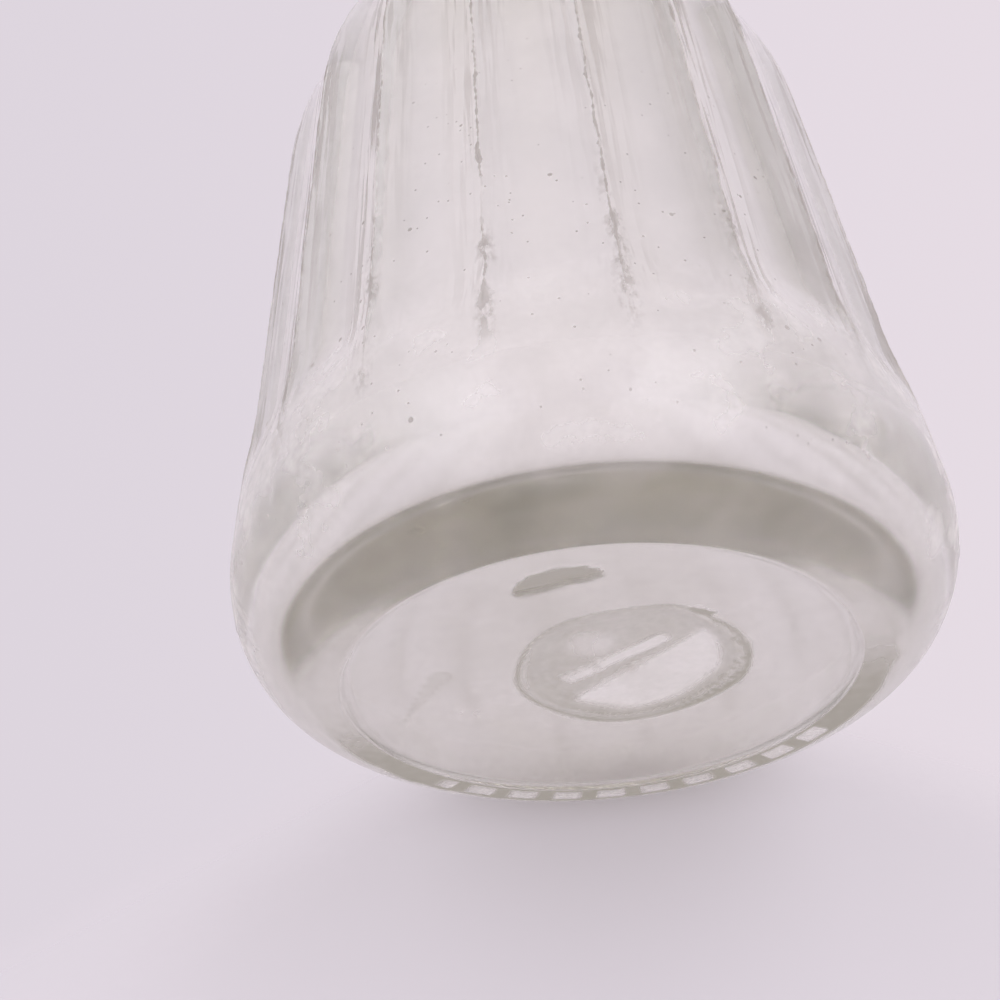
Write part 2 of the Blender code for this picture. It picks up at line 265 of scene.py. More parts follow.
PAPER_ROUGHNESS = (0.82, 0.68)
WIRE_ROUGHNESS_STEP = (0.40, 0.70, 0.24, 0.50)
WAX_COAT = 0.25
WAX_ROUGHNESS = 0.30
BOARD_BUMP = (0.35, 0.00006)
PAPER_BUMP = (0.5, 0.00006)
WIRE_BUMP = (0.3, 0.00002)

# Camera, fitted to the photograph's outlines
CAMERA_PLACE = (0.0, -0.12388, -0.06156)
CAMERA_AIM = (-0.01178, 0.0, 0.03353)
CAMERA_ROLL = math.radians(-3.112)
CAMERA_LENS = 37.05
SENSOR_WIDTH = 36.0
CLIP_START = 0.005
CLIP_END = 20.0

# Mesh counts and spacings. A ring with stride 2 has half the columns
COLUMNS_PER_FLUTE = 18
CLUSTERING = 1.7
COLUMNS = FLUTE_COUNT * COLUMNS_PER_FLUTE
BASE_CENTRE_RINGS = ((0.0008, 8), (0.0018, 8), (0.0030, 4), (0.0044, 4), (0.0058, 2), (0.0070, 2))
FINE_BASE_START = 0.0070
FINE_BASE_END = 0.0200
FINE_BASE_SPACING = 0.00046
BASE_SPACING = 0.0008
CORNER_SPACING = 0.0004
CORNER_MOST_SHARE = 0.45
HEEL_STEPS = 28
HEEL_BAND_SPACING = 0.0006
LOW_SIDE_END = 0.0620
LOW_SIDE_SPACING = 0.0009
SIDE_SPACING = 0.0018
SHOULDER_SPACING = 0.0030
FINISH_ROUNDING = 0.0012
FINISH_SPACING = 0.0028
BEAD_STEPS = 8
LIP_STEPS = 6
INSIDE_SPACING = 0.0030
NECK_INSIDE_SPACING = 0.0032
FLOOR_CORNER_STEPS = 12
FLOOR_SHARES = (0.94, 0.87, 0.80, 0.73, 0.66, 0.59, 0.52, 0.45, 0.38, 0.31, 0.24, 0.17, 0.11, 0.05)
FLOOR_STRIDES = ((0.5, 2), (0.2, 4), (0.0, 8))

# World. A span is the two ends of a smooth step along an axis, and angles are degrees from a side
BACKGROUND = (0.723, 0.665, 0.730)
BACKGROUND_RIGHT = (0.790, 0.716, 0.776)
BACKGROUND_SPAN = (-0.6, 0.5)
AMBIENT_BELOW = (0.92, 0.90, 0.91)
AMBIENT_ABOVE = (0.42, 0.42, 0.42)
AMBIENT_SPAN = (-0.9, -0.1)
STUDIO = (0.88, 0.83, 0.86)
STUDIO_DIM = (0.40, 0.37, 0.35)
STUDIO_DARK = (0.36, 0.33, 0.30)
CAMERA_SIDE = (0.0, -0.75, -0.66)
CAMERA_SIDE_ANGLES = (25, 75)
RIGHT_SIDE = (0.80, 0.0, 0.55)
RIGHT_SIDE_ANGLES = (10, 60)
WINDOW = (2.2, 2.2, 2.2)
WINDOW_SIDE = 0.50
WINDOW_WIDTH = 0.32
WINDOW_SHIFT = 0.05
WINDOW_LENGTH = 0.75
WINDOW_EDGE = (0.15, 1.0)
WINDOW_SPAN = (-0.1, -0.4)

# Stage: tabletop and floor, and where each fades out for the camera
TABLE_COLOUR = BACKGROUND
FLOOR_COLOUR = (0.86, 0.81, 0.86)
STAGE_SIZE = 8.0
STAGE_GAP = 0.0003
STAGE_SLOPE = 0.45
TABLE_FADE = (0.016, 0.040)
FLOOR_FADE = (0.5, 1.2)

# Lamps: two panels over the tabletop and a softbox behind it
PANEL_HEIGHT = 2.0
PANEL_SIDE = 1.5
PANEL_SHIFT = 0.4
PANEL_WIDTH = 1.8
PANEL_LENGTH = 3.0
PANEL_STRENGTHS = (1.44, 2.32)
SKY_PLACE = (0.0, 1.4, 2.0)
SKY_AIM = (0.0, 1.4, 0.0)
SKY_SIZE = 2.6
SKY_STRENGTH = 0.9

# How often light may turn on its way
BOUNCES = 32

# Finish of the glass: its scuffs, the shares of the film, of the painted shade and light on the marks and
# of the dirt and painted shade on the side, and their colours
GLASS_IOR = 1.5
GLASS_ROUGHNESS = 0.05
INSIDE_CLOUDING = 0.32
DULL_ROUGHNESS = 0.15
RUBBED_ROUGHNESS = 0.13
RUBBED_TOP = 0.050
HAZE = 0.06
HEEL_HAZE = 0.16
HAZE_TOP = 0.042
PAINTED_SHADE_SHARE = 0.85
PAINTED_LIGHT_SHARE = 0.40
PAINTED_LIGHT_SPAN = (0.0, -0.5)
DIRT_AND_SHADE_SHARE = 0.66
STREAK_SHARE = 0.80
FILM_COLOUR = (0.84, 0.775, 0.80)
PAINTED_SHADE_COLOUR = (0.40, 0.37, 0.325)
PAINTED_LIGHT_COLOUR = (0.96, 0.90, 0.92)
DIRT_AND_SHADE_COLOUR = (0.32, 0.28, 0.265)
GLASS_TINT = (0.964, 0.961, 0.937, 1.0)
TINT_DENSITY = 100.0
HEEL_SHADE = (0.65, 0.64, 0.62)
WALL_SHADE = (0.99, 0.99, 0.985)
SHADE_SPAN = (0.008, 0.020)
CLOUD_SPAN = (0.011, 0.022)

# Patches, bloom, dirt and painted light and shade on the glass: the bloom, thicker where seen edge on,
# is partly painted sheen, and the streaks on the flanks are painted shade. A noise is (size, detail,
# stretch), dots are (spacing, radius, share kept), and a step is (start, end, low, high). Reaches are
# spans across an arris, feet and tops are spans of height
MOTTLE_NOISE = (0.012, 3.0)
MOTTLE_STEP = (0.35, 0.70, 0.5, 1.6)
BLOOM_NOISE = (0.0045, 4.0)
BLOOM_STEP = (0.25, 0.80, 0.3, 1.4)
SHEEN_FACING = (0.3, 0.8, 1.0, 2.2)
BLOOM_FOOT = (0.001, 0.005)
DIRT_GRAIN = (0.0012, 3.0)
DIRT_GAPS = (0.006, 3.0, 2.0)
LINE_RAGGED = 0.0006
LINE_REACH = (0.00022, 0.00002)
LINE_GAPS_STEP = (0.36, 0.50, 0.15, 1.0)
LINE_FOOT = (0.018, 0.030)
LINE_TOP = (0.150, 0.110)
KNOT_NOISE = (0.0030, 2.0, 1.5)
KNOT_STEP = (0.50, 0.70, 0.0, 0.00030)
SMUDGE_SHARE = 0.9
SMUDGE_RAGGED = 0.0012
SMUDGE_REACH = (0.0017, 0.0001)
SMUDGE_GAPS_STEP = (0.43, 0.57)
SMUDGE_NOISE = (0.0008, 4.0, 2.0)
SMUDGE_STEP = (0.36, 0.64)
SMUDGE_FOOT = (0.015, 0.022)
SMUDGE_TOP = (0.055, 0.040)
STREAK_NOISE = (0.0011, 2.0, 24.0)
STREAK_STEP = (0.46, 0.60, 0.0, STREAK_SHARE)
STREAK_REACH = (0.0065, 0.0010)
STREAK_SHADE_FACING = (0.40, 0.72, 0.06, 1.0)
STREAK_FOOT = (0.018, 0.034)
STREAK_TOP = (0.125, 0.095)
DOT_SOFTNESS = 0.3
SPOTS = (0.0034, 0.00030, 0.36)
PITS = (0.0015, 0.00016, 0.40)
PIT_SHARE = 0.7
SPOTS_FOOT = (0.004, 0.010)
SPOTS_TOP = (0.090, 0.050)


def side_radius(height, wide, narrow):
    """The side at a height: straight, then a convex shoulder, then a concave sweep into the neck."""
    rise = height - SHOULDER_START
    whole = SHOULDER_HEIGHT + NECK_SWEEP_HEIGHT
    if rise <= 0:
        return wide
    if rise < SHOULDER_HEIGHT:
        return wide - (wide - narrow) * rise**2 / (SHOULDER_HEIGHT * whole)
    if rise < whole:
        return narrow + (wide - narrow) * (whole - rise) ** 2 / (NECK_SWEEP_HEIGHT * whole)
    return narrow


def arc(centre_radius, centre_height, width, height, start, end, steps):
    """Points on an ellipse in the (radius, height) plane. Angles are in degrees."""
    points = []
    for i in range(steps + 1):
        angle = math.radians(start + (end - start) * i / steps)
        points.append((centre_radius + width * math.cos(angle), centre_height + height * math.sin(angle)))
    return points


def rounded(points, reach, steps=3):
    """A line with its inner corners bent round, within reach and a share of each edge."""
    line = [points[0]]
    for before, corner, after in zip(points, points[1:], points[2:]):
        corner = np.array(corner)
        ends = []
        for other in (before, after):
            way = np.array(other) - corner
            length = np.linalg.norm(way)
            ends.append(corner + way * min(reach, CORNER_MOST_SHARE * length) / length)
        for i in range(steps + 1):
            t = i / steps
            line.append(tuple((1 - t) ** 2 * ends[0] + 2 * t * (1 - t) * corner + t**2 * ends[1]))
    return line + [points[-1]]


def divided(points, spacing):
    """The same line with points added wherever two lie further apart than spacing."""
    line = [points[0]]
    for start, end in zip(points, points[1:]):
        length = math.dist(start, end)
        count = max(1, math.ceil(length / spacing))
        for i in range(1, count + 1):
            line.append(tuple(s + (e - s) * i / count for s, e in zip(start, end)))
    return line


def heights(start, end, spacing):
    """Even steps from start to end, about a spacing apart, without the start itself."""
    count = max(1, round(abs(end - start) / spacing))
    return [start + (end - start) * i / count for i in range(1, count + 1)]


def outside_rings():
    """(radius, height, stride, clustering) of the rings from the middle of the base up to the lip."""
    rings = []
    radii = list(BASE_CENTRE_RINGS)
    radii += [(radius, 1) for radius in heights(FINE_BASE_START, FINE_BASE_END, FINE_BASE_SPACING)]
    radii += [(radius, 1) for radius in heights(FINE_BASE_END, PUSH_UP_RADIUS, BASE_SPACING)]
    for radius, stride in radii:
        share = radius / PUSH_UP_RADIUS
        rings.append((radius, BASE_STEP + PUSH_UP_HEIGHT * (1 - share**PUSH_UP_POWER), stride, 0.0))
    ring = [(PUSH_UP_RADIUS, BASE_STEP), (BEARING_INNER, 0.0), (BEARING_OUTER, 0.0)]
    heel = arc(BEARING_OUTER, HEEL_HEIGHT, HEEL_WIDTH, HEEL_HEIGHT, -90, 0, HEEL_STEPS)
    line = divided(rounded(ring + heel[1:2], CORNER_ROUNDING)[1:-1], CORNER_SPACING) + heel[1:]
    rings += [(radius, height, 1, 0.0) for radius, height in line]
    for height in heights(HEEL_HEIGHT, FLUTE_FOOT, HEEL_BAND_SPACING):
        rings.append((BODY_RADIUS, height, 1, (height - HEEL_HEIGHT) / HEEL_BAND_HEIGHT))
    levels = heights(FLUTE_FOOT, LOW_SIDE_END, LOW_SIDE_SPACING)
    levels += heights(LOW_SIDE_END, SHOULDER_START, SIDE_SPACING)
    levels += heights(SHOULDER_START, FLUTE_TOP, SHOULDER_SPACING)
    rings += [(side_radius(level, BODY_RADIUS, NECK_RADIUS), level, 1, 1.0) for level in levels]
    for level in heights(FLUTE_TOP, NECK_START, SHOULDER_SPACING):
        rings.append((side_radius(level, BODY_RADIUS, NECK_RADIUS), level, 2, 1.0))
    finish = [(NECK_RADIUS, NECK_START), (NECK_RADIUS, FINISH_START)]
    finish += arc(COLLAR_RADIUS, BEAD_HEIGHT, BEAD_PROUD, BEAD_RADIUS, -90, 90, BEAD_STEPS)
    lip_radius = COLLAR_RADIUS - LIP_ROUNDING
    lip_height = BOTTLE_HEIGHT - LIP_ROUNDING
    finish += arc(lip_radius, lip_height, LIP_ROUNDING, LIP_ROUNDING, 0, 90, LIP_STEPS)
    line = divided(rounded(finish, FINISH_ROUNDING, 2), FINISH_SPACING)[1:]
    rings += [(radius, height, 2, 1.0) for radius, height in line]
    return rings


def inside_rings():
    """(radius, height, stride, clustering) of the rings from the lip down to the middle of the floor."""
    mouth = [
        (COLLAR_RADIUS - LIP_ROUNDING, BOTTLE_HEIGHT),
        (MOUTH_RADIUS, BOTTLE_HEIGHT),
        (SEAT_RADIUS, SEAT_HEIGHT + SEAT_WALL_HEIGHT),
        (SEAT_RADIUS, SEAT_HEIGHT),
        (THROAT_RADIUS, SEAT_HEIGHT),
        (THROAT_RADIUS, SEAT_HEIGHT - THROAT_HEIGHT),
        (NECK_INSIDE_RADIUS, SEAT_HEIGHT - THROAT_HEIGHT - THROAT_RELIEF_HEIGHT),
        (NECK_INSIDE_RADIUS, NECK_START),
    ]
    line = divided(rounded(mouth, CORNER_ROUNDING, 2), INSIDE_SPACING)[1:]
    for level in heights(NECK_START, SHOULDER_START, NECK_INSIDE_SPACING):
        line.append((side_radius(level, INSIDE_RADIUS, NECK_INSIDE_RADIUS), level))
    line += [(INSIDE_RADIUS, level) for level in heights(SHOULDER_START, CORNER_HEIGHT, INSIDE_SPACING)]
    corner = INSIDE_RADIUS - INSIDE_CORNER_RADIUS
    end = -90 - math.degrees(FLOOR_TILT)
    size = INSIDE_CORNER_RADIUS
    line += arc(corner, CORNER_HEIGHT, size, size, 0, end, FLOOR_CORNER_STEPS)[1:]
    rings = [(radius, height, 2, 1.0) for radius, height in line]
    for share in FLOOR_SHARES:
        stride = next(stride for least, stride in FLOOR_STRIDES if share > least)
        rings.append((FLOOR_RIM * share, FLOOR_HEIGHT - FLOOR_FALL * share**2, stride, 1.0))
    return rings


def column_angles():
    """Angles of the columns, spaced evenly and clustered at the arrises, both from the first arris."""
    half = COLUMNS_PER_FLUTE // 2
    even, clustered = [], []
    for i in range(COLUMNS):
        flute, step = divmod(i, COLUMNS_PER_FLUTE)
        away = min(step, COLUMNS_PER_FLUTE - step) / half
        share = 0.5 * away**CLUSTERING
        share = share if step <= half else 1 - share
        even.append((flute - 0.5 + step / COLUMNS_PER_FLUTE) * math.tau / FLUTE_COUNT)
        clustered.append((flute - 0.5 + share) * math.tau / FLUTE_COUNT)
    return np.array(even), np.array(clustered)


def smooth(share):
    share = np.clip(share, 0.0, 1.0)
    return share * share * (3 - 2 * share)


def past(distance, width):
    """0 to 1 as a distance goes from minus half a width to plus half a width."""
    return smooth(distance / width + 0.5)


def near(distance, width):
    """1 within half a width, fading to 0 at one and a half."""
    return smooth(1.5 - distance / width)


def bell(distance, width):
    return np.exp(-((distance / width) ** 2))


def waves(x, y, z, size, stretch=1.0):
    """Smooth noise between about -1 and 1 for arrays of places, with waves of about a size."""
    grid = zip(x / size, y / size, z / (size * stretch))
    return np.array([noise.noise(place) for place in grid])


def flat_waves(x, y, size):
    return waves(x, y, np.zeros(len(x)), size)


def flute_cut(angle, height):
    """How deep the flutes cut the side, for arrays of angles at one height."""
    turn = angle * FLUTE_COUNT / math.tau
    across = 2 * np.abs(turn - np.round(turn))
    foot = FLUTE_FOOT + FLUTE_END_RISE * (1 - np.sqrt(np.maximum(0.0, 1 - across**2)))
    up = smooth((height - foot) / FOOT_LENGTH)
    down = math.sin(min(1.0, max(0.0, (FLUTE_TOP - height) / FLUTE_TOP_FADE)) * math.pi / 2)
    depth = ARRIS_RECESS + FLUTE_DEPTH * (1 - across**2)
    narrowing = side_radius(height, BODY_RADIUS, NECK_RADIUS) / BODY_RADIUS
    return depth * narrowing * up * down


def line_places(x, y, start, end):
    """How far along a line places lie, as a share of its length, and how far to its left."""
    start, end = np.array(start), np.array(end)
    way = end - start
    length = math.hypot(*way)
    along = ((x - start[0]) * way[0] + (y - start[1]) * way[1]) / length**2
    left = ((y - start[1]) * way[0] - (x - start[0]) * way[1]) / length
    return along, left


def segment_distance(x, y, start, end):
    start, end = np.array(start), np.array(end)
    way = end - start
    share = np.clip(((x - start[0]) * way[0] + (y - start[1]) * way[1]) / (way @ way), 0.0, 1.0)
    return np.hypot(x - start[0] - share * way[0], y - start[1] - share * way[1])


def valve_places(x, y):
    """How far places lie inside the valve mark's uneven edge, and how thick its lip is towards them."""
    edge = VALVE_RADIUS * (1 + VALVE_WOBBLE * flat_waves(x, y, VALVE_WOBBLE_SIZE))
    inside = edge - np.hypot(x - VALVE_X, y - VALVE_Y)
    direction = np.arctan2(y - VALVE_Y, x - VALVE_X)
    thick = LIP_MEAN_SHARE + LIP_SWING_SHARE * np.cos(direction - LIP_THICK_SIDE)
    return inside, thick


def valve_bar(x, y):
    return near(segment_distance(x, y, BAR_START, BAR_END), BAR_WIDTH)


def valve_patch(x, y):
    """1 in the part of the valve mark that lies beyond its bar."""
    along, beyond = line_places(x, y, BAR_START, BAR_END)
    inside = valve_places(x, y)[0]
    reach = smooth((inside - PATCH_MARGIN) / PATCH_EDGE)
    return reach * past(beyond - PATCH_OFFSET + PATCH_TURN * along, PATCH_FRONT_EDGE)


def crescent(x, y):
    """1 inside a half moon that stands on the line between its two tips."""
    along, left = line_places(x, y, CRESCENT_START, CRESCENT_END)
    above = -left
    top = CRESCENT_HEIGHT * np.sqrt(np.maximum(0.0, 1 - (2 * along - 1) ** 2))
    return past(above, CRESCENT_EDGE) * past(top - above, CRESCENT_EDGE) * (top > 0)


def wedge(x, y):
    """1 inside a sliver that widens from its first end to its second."""
    along = np.clip(line_places(x, y, WEDGE_START, WEDGE_END)[0], 0.0, 1.0)
    away = segment_distance(x, y, WEDGE_START, WEDGE_END)
    half = WEDGE_WIDTH * (WEDGE_START_SHARE + (1 - WEDGE_START_SHARE) * along)
    return past(half - away, WEDGE_EDGE)


def scratch(x, y):
    return near(segment_distance(x, y, SCRATCH_START, SCRATCH_END), SCRATCH_WIDTH)


def base_relief(x, y):
    """Height that the valve mark and the chill marks add to places of the recessed base."""
    inside, thick = valve_places(x, y)
    within = smooth(inside / DISH_SOFT_EDGE)
    uneven = VALVE_UNEVEN * flat_waves(x, y, VALVE_UNEVEN_SIZE) * within
    dish = VALVE_DEPTH * smooth(inside / DISH_EDGE) + uneven
    raised = BAR_HEIGHT * valve_bar(x, y) + PATCH_HEIGHT * valve_patch(x, y)
    lip = VALVE_LIP * thick * bell(inside, VALVE_LIP_WIDTH)
    inner_lip = INNER_LIP_SHARE * VALVE_LIP * thick * bell(inside - INNER_LIP_OFFSET, VALVE_LIP_WIDTH)
    cut = CRESCENT_DEPTH * crescent(x, y) + WEDGE_DEPTH * wedge(x, y) + SCRATCH_DEPTH * scratch(x, y)
    return dish - raised * within - lip - inner_lip + cut


def base_mark(x, y):
    """How strongly places of the base get painted shade. Below 0 they get painted light."""
    inside, thick = valve_places(x, y)
    pale = smooth(PALE_REACH - np.hypot(x - PALE_CENTRE[0], y - PALE_CENTRE[1]) / PALE_WIDTH)
    painted_light = np.maximum(valve_bar(x, y), valve_patch(x, y))
    dish = smooth(inside / DISH_MARK_EDGE + DISH_MARK_START) * (DISH_MARK - PALE_MARK * pale)
    # The bar and the patch beyond it get painted light instead of painted shade
    dish = dish * (1 - painted_light) - PAINTED_LIGHT_MARK * painted_light * (inside > 0)
    from_rim = (inside + RIM_OFFSET * thick) / (RIM_LEAST_WIDTH + RIM_WIDTH * thick)
    rim = thick * np.exp(-(from_rim**RIM_POWER))
    outer_line = OUTER_LINE_MARK * bell(inside + OUTER_LINE_OFFSET * thick, OUTER_LINE_WIDTH)
    specks = flat_waves(x, y, SPECK_SIZE) * rim * (x > VALVE_X + VALVE_RADIUS / 2)
    marks = dish + RIM_MARK * rim + outer_line + SPECK_MARK * np.maximum(0.0, specks)
    return marks + CRESCENT_MARK * crescent(x, y) + WEDGE_MARK * wedge(x, y) + SCRATCH_MARK * scratch(x, y)


def heel_pips(angle, height):
    """How far the round pips below the arrises stand proud of the heel."""
    turn = angle * FLUTE_COUNT / math.tau - 0.5
    across = (turn - np.round(turn)) * FLUTE_PITCH
    return PIP_PROUD * near(np.hypot(across, height - PIP_HEIGHT), PIP_RADIUS)


def pads(angle, radius):
    """1 on the pads under one side of the standing ring, 0 between them and beside them."""
    turn = angle * PAD_COUNT / math.tau
    across = np.abs(turn - np.round(turn)) * math.tau * radius / PAD_COUNT
    half = PAD_SHARE * math.pi * radius / PAD_COUNT
    reach = smooth((PAD_OUTER - radius) / PAD_EDGE) * smooth((radius - PAD_INNER) / PAD_EDGE)
    return reach * past(half - across, PAD_EDGE)


def padded_side(angle):
    """1 along the stretch of the standing ring that has pads, fading to 0 past its ends."""
    away = np.abs((angle - PAD_SIDE + math.pi) % math.tau - math.pi)
    return smooth((PAD_REACH - away) / PAD_END_FADE)


def ring_mark(angle, radius):
    """Painted shade on the standing ring and nearby heel, darkest towards the tabletop. The pads get
    painted light.
    """
    x, y = np.cos(angle) * radius, np.sin(angle) * radius
    ragged = RING_MARK_RAGGED * flat_waves(x, y, RING_MARK_RAGGED_SIZE)
    reach = past(radius - BEARING_INNER, RING_MARK_START)
    reach = reach * smooth((RING_MARK_OUTER - radius + ragged) / RING_MARK_FADE)
    rough = RING_MARK_LEVEL + RING_MARK_UNEVEN * flat_waves(x, y, RING_MARK_GRAIN)
    # Painted shade, darkest on the side towards the tabletop
    near_side = smooth(NEAR_SIDE_SPREAD * np.cos(angle - PAD_SIDE) + NEAR_SIDE_SHIFT)
    side = FAR_SIDE_SHARE + (1 - FAR_SIDE_SHARE) * near_side
    return reach * (rough * side - PAD_MARK * pads(angle, radius) * padded_side(angle))


def ring_points(radius, height, angle, outside):
    """The places of one ring, with the flutes, the relief and the waves of the glass."""
    x, y, z = np.cos(angle) * radius, np.sin(angle) * radius, np.full(len(angle), height)
    if not outside:
        shifted = z + INSIDE_WAVE_SHIFT
        wave = sum(depth * waves(x, y, shifted, size, WAVE_STRETCH) for size, depth in INSIDE_WAVES)
        if radius < FLOOR_RIM and height < SHOULDER_START:
            return np.stack([x, y, z + wave * FLOOR_WAVE_SHARE], 1)
        fade = min(1.0, max(0.0, (NECK_START - height) / NECK_SWEEP_HEIGHT))
        reach = (radius + wave * fade) / radius
        return np.stack([x * reach, y * reach, z], 1)
    if radius < PAD_OUTER and height < HEEL_HEIGHT:
        relief = base_relief(x, y) if radius < PUSH_UP_RADIUS else 0.0
        gaps = smooth((radius - BEARING_INNER) / PAD_EDGE) * smooth((PAD_OUTER - radius) / PAD_EDGE)
        raised = PAD_DEPTH * gaps * (1 - pads(angle, radius)) * padded_side(angle)
        return np.stack([x, y, z + relief + raised], 1)
    cut = flute_cut(angle, height) if FLUTE_FOOT < height < FLUTE_TOP else 0.0
    wave = sum(depth * waves(x, y, z, size, WAVE_STRETCH) for size, depth in OUTSIDE_WAVES)
    if height > NECK_START:
        wave = wave * NECK_WAVE_SHARE
    reach = radius - cut + wave
    if height < FLUTE_FOOT:
        reach = reach + heel_pips(angle, height)
    turn = angle * FLUTE_COUNT / math.tau - 0.5
    arris = np.round(turn)
    off = np.abs(turn - arris)
    fluted = smooth((height - FLUTE_FOOT) / FOOT_LENGTH) * smooth((FLUTE_TOP - height) / FLUTE_TOP_FADE)
    if fluted > 0:
        seed = arris * ARRIS_SEED_STEP
        wander = ARRIS_WANDER * waves(seed, seed, z, ARRIS_WANDER_LENGTH)
        ragged = waves(x, y, z, ARRIS_GRAIN) * bell(off * FLUTE_PITCH, ARRIS_WIDTH)
        reach = reach + ARRIS_RAGGED * ragged * fluted
        angle = angle + wander * fluted * (1 - 2 * off) ** 2 / BODY_RADIUS
    return np.stack([reach * np.cos(angle), reach * np.sin(angle), z], 1)


def painted_light_and_shade(radius, height, angle):
    """How much painted shade, or below 0 painted light, the base marks and standing ring put on a ring."""
    if height > HEEL_HEIGHT / 2:
        return np.zeros(len(angle))
    if radius < BEARING_INNER:
        return base_mark(np.cos(angle) * radius, np.sin(angle) * radius)
    return ring_mark(angle, radius)


def ring_faces(first, second, start_first, start_second):
    """Faces between two rings, of which one may have half the columns of the other."""
    faces = []
    if first == second:
        for i in range(first):
            j = (i + 1) % first
            faces.append((start_first + i, start_first + j, start_second + j, start_second + i))
    elif first > second:
        for i in range(second):
            a, b, c = (start_first + (2 * i + k) % first for k in range(3))
            d, e = start_second + i, start_second + (i + 1) % second
            faces += [(a, b, d), (b, e, d), (b, c, e)]
    else:
        for i in range(first):
            a, b = start_first + i, start_first + (i + 1) % first
            c, d, e = (start_second + (2 * i + k) % second for k in range(3))
            faces += [(a, d, c), (a, b, d), (b, e, d)]
    return faces


def glass_mesh():
    """The closed skin of the glass: outside from the base to the lip, then the hollow."""
    even, clustered = column_angles()
    outside = outside_rings()
    rings = outside + inside_rings()
    points = [np.array([[0.0, 0.0, BASE_CENTRE_HEIGHT]])]
    from_arris, within, mark = [[FLUTE_PITCH / 2]], [[0.0]], [[0.0]]
    starts, counts, total = [], [], 1
    for i, (radius, height, stride, clustering) in enumerate(rings):
        angle = (even + (clustered - even) * clustering)[::stride]
        turn = angle * FLUTE_COUNT / math.tau - 0.5
        points.append(ring_points(radius, height, angle, i < len(outside)))
        from_arris.append(np.abs(turn - np.round(turn)) * FLUTE_PITCH)
        within.append(np.full(len(angle), float(i >= len(outside))))
        mark.append(painted_light_and_shade(radius, height, angle) if i < len(outside) else np.zeros(len(angle)))
        starts.append(total)
        counts.append(len(angle))
        total += len(angle)
    points.append(np.array([[0.0, 0.0, FLOOR_HEIGHT]]))
    from_arris.append([FLUTE_PITCH / 2])
    within.append([1.0])
    mark.append([0.0])
    faces = [(0, starts[0] + (i + 1) % counts[0], starts[0] + i) for i in range(counts[0])]
    for i in range(len(rings) - 1):
        faces += ring_faces(counts[i], counts[i + 1], starts[i], starts[i + 1])
    faces += [(starts[-1] + i, starts[-1] + (i + 1) % counts[-1], total) for i in range(counts[-1])]
    mesh = bpy.data.meshes.new("milk_bottle_glass")
    mesh.from_pydata(np.concatenate(points).tolist(), [], faces)
    mesh.shade_smooth()
    for name, values in (("from_arris", from_arris), ("within", within), ("mark", mark)):
        layer = mesh.attributes.new(name, "FLOAT", "POINT")
        layer.data.foreach_set("value", np.concatenate(values))
    return mesh


def link(obj):
    bpy.context.scene.collection.objects.link(obj)
    return obj


def node(tree, kind, values=None, **settings):
    """A new node with its settings and the values of its unlinked inputs."""
    made = tree.nodes.new("ShaderNode" + kind)
    for name, setting in settings.items():
        setattr(made, name, setting)
    for name, value in (values or {}).items():
        made.inputs[name].default_value = value
    return made


def maths(tree, operation, first, second=0.0, third=0.0):
    made = node(tree, "Math", operation=operation)
    for socket, value in zip(made.inputs, (first, second, third)):
        if isinstance(value, (int, float)):
            socket.default_value = value
        else:
            tree.links.new(value, socket)
    return made.outputs[0]


def product(tree, *values):
    total = values[0]
    for value in values[1:]:
        total = maths(tree, "MULTIPLY", total, value)
    return total


def ramp(tree, value, start, end, low=0.0, high=1.0):
    """A smooth step from low to high as the value goes from start to end."""
    made = node(tree, "MapRange", interpolation_type="SMOOTHSTEP")
    made.inputs["From Min"].default_value = start
    made.inputs["From Max"].default_value = end
    made.inputs["To Min"].default_value = low
    made.inputs["To Max"].default_value = high
    tree.links.new(value, made.inputs["Value"])
    return made.outputs["Result"]


def blend_colours(tree, share, first, second):
    made = node(tree, "Mix", data_type="RGBA")
    for name, value in (("Factor", share), ("A", first), ("B", second)):
        socket = next(s for s in made.inputs if s.name == name and s.enabled)
        if isinstance(value, (int, float)):
            socket.default_value = value
        elif isinstance(value, tuple):
            socket.default_value = (*value, 1.0)
        else:
            tree.links.new(value, socket)
    return next(s for s in made.outputs if s.enabled)


def blend_shaders(tree, share, first, second):
    made = node(tree, "MixShader")
    tree.links.new(share, made.inputs["Fac"])
    tree.links.new(first, made.inputs[1])
    tree.links.new(second, made.inputs[2])
    return made.outputs[0]


def axes_of(tree, vector):
    split = node(tree, "SeparateXYZ")
    tree.links.new(vector, split.inputs[0])
    return split.outputs["X"], split.outputs["Y"], split.outputs["Z"]


def length_of(tree, vector):
    made = node(tree, "VectorMath", operation="LENGTH")
    tree.links.new(vector, made.inputs[0])
    return made.outputs["Value"]


def facing_away(tree):
    """0 where a surface faces the eye, 1 where it is seen edge on."""
    return node(tree, "LayerWeight", {"Blend": 0.5}).outputs["Facing"]


def grain_field(tree, place, sizes, detail=3.0):
    """Noise between 0 and 1 with waves of about a size along each axis."""
    scaled = node(tree, "Mapping", {"Scale": tuple(1 / size for size in sizes)})
    tree.links.new(place, scaled.inputs["Vector"])
    made = node(tree, "TexNoise", {"Scale": 1.0, "Detail": detail})
    tree.links.new(scaled.outputs[0], made.inputs["Vector"])
    return made.outputs["Fac"]


def noise_field(tree, place, size, detail=2.0, stretch=1.0):
    """Noise with waves of about a size, stretched up the bottle."""
    return grain_field(tree, place, (size, size, size * stretch), detail)


